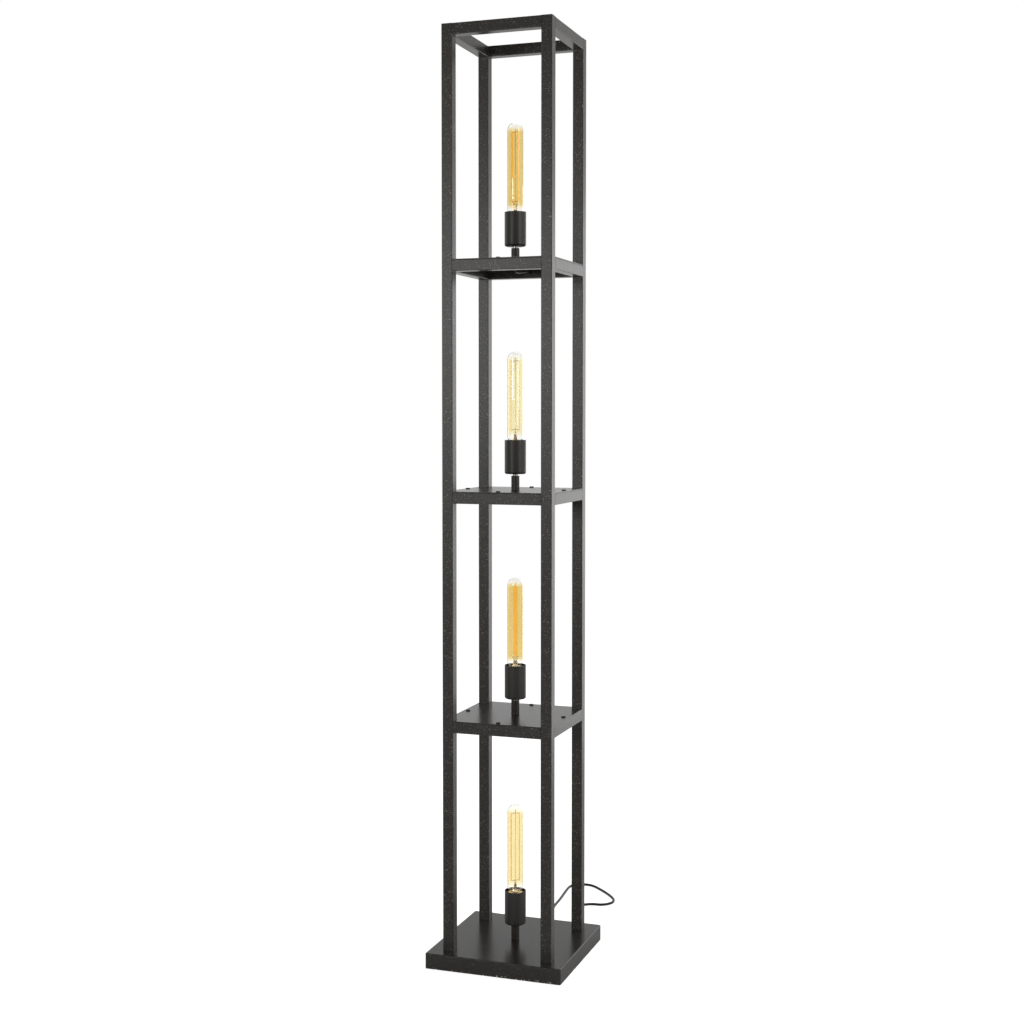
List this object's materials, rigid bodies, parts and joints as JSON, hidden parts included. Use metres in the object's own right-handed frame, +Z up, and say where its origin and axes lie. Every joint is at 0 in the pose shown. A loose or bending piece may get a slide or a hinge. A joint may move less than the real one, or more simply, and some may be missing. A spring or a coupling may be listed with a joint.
{
  "type": "shelf floor lamp",
  "caption": "Square tower floor lamp of dark steel tube with open shelves, a weighted base and an upright tubular amber bulb in a holder above each level.",
  "frame": {"origin": "on the floor under the middle of the tower, at the bottom of the feet", "axes": "+Z up, +X to the right, the front faces -Y"},
  "size_m": [0.2662, 0.5721, 1.681],
  "materials": {
    "powder_coat": "charcoal powder coat, satin, faint hammered texture",
    "black_steel": "black oxide",
    "iron": "raw ballast plate",
    "foot_rubber": "matte pads",
    "holder_metal": "dark satin lacquer",
    "zinc": "zinc plated",
    "ceramic": "brown glazed insert",
    "brass": "bright brass",
    "amber_glass": "amber tinted clear glass",
    "filament": "filament strips on a glass mount",
    "cord_black": "black flexible cord",
    "cord_fittings": "black moulded plastic",
    "plug_metal": "nickel plated pins"
  },
  "bodies": {
    "lamp": {"post_front_left": "powder_coat", "post_front_right": "powder_coat", "post_back_left": "powder_coat", "post_back_right": "powder_coat", "post_caps": "powder_coat", "top_rails": "powder_coat", "upper_shelf_rails": "powder_coat", "middle_shelf_rails": "powder_coat", "lower_shelf_rails": "powder_coat", "upper_shelf_plate": "powder_coat", "middle_shelf_plate": "powder_coat", "lower_shelf_plate": "powder_coat", "base_cover": "powder_coat", "shelf_screws": "black_steel", "post_bolts": "black_steel", "post_bar_nuts": "black_steel", "base_screws": "black_steel", "base_bottom_plate": "black_steel", "base_ballast": "iron", "base_feet": "foot_rubber", "holder_shell_1": "holder_metal", "holder_shell_2": "holder_metal", "holder_shell_3": "holder_metal", "holder_shell_4": "holder_metal", "stem_1": "holder_metal", "stem_2": "holder_metal", "stem_3": "holder_metal", "stem_4": "holder_metal", "threaded_pipes": "zinc", "pipe_locknuts": "zinc", "socket_insert_1": "ceramic", "socket_insert_2": "ceramic", "socket_insert_3": "ceramic", "socket_insert_4": "ceramic", "socket_contacts": "brass", "cord_end": "cord_black", "cord_lamp_side": "cord_black", "cord_middle": "cord_black", "cord_hank": "cord_black", "cord_plug_side": "cord_black", "inner_leads": "cord_black", "cord_relief": "cord_fittings", "hank_tie": "cord_fittings", "switch_housing": "cord_fittings", "plug_body": "cord_fittings", "terminal_block": "cord_fittings", "plug_pins": "plug_metal"},
    "bulb_1": {"bulb_glass_1": "amber_glass", "bulb_cap_1": "brass", "bulb_filament_1": "filament"},
    "bulb_2": {"bulb_glass_2": "amber_glass", "bulb_cap_2": "brass", "bulb_filament_2": "filament"},
    "bulb_3": {"bulb_glass_3": "amber_glass", "bulb_cap_3": "brass", "bulb_filament_3": "filament"},
    "bulb_4": {"bulb_glass_4": "amber_glass", "bulb_cap_4": "brass", "bulb_filament_4": "filament"},
    "switch_rocker": {"switch_rocker": "cord_fittings"}
  },
  "joints": [
    {"name": "bulb_1_out", "type": "slide", "parent": "lamp", "child": "bulb_1", "axis": [0, 0, 1], "range_m": [0, 0.03]},
    {"name": "bulb_2_out", "type": "slide", "parent": "lamp", "child": "bulb_2", "axis": [0, 0, 1], "range_m": [0, 0.03]},
    {"name": "bulb_3_out", "type": "slide", "parent": "lamp", "child": "bulb_3", "axis": [0, 0, 1], "range_m": [0, 0.03]},
    {"name": "bulb_4_out", "type": "slide", "parent": "lamp", "child": "bulb_4", "axis": [0, 0, 1], "range_m": [0, 0.03]},
    {"name": "switch_rock", "type": "hinge", "parent": "lamp", "child": "switch_rocker", "pos_m": [0.0465, 0.2515, 0.0085], "axis": [0.9573, 0.2891, 0], "range_deg": [0, 14]}
  ]
}
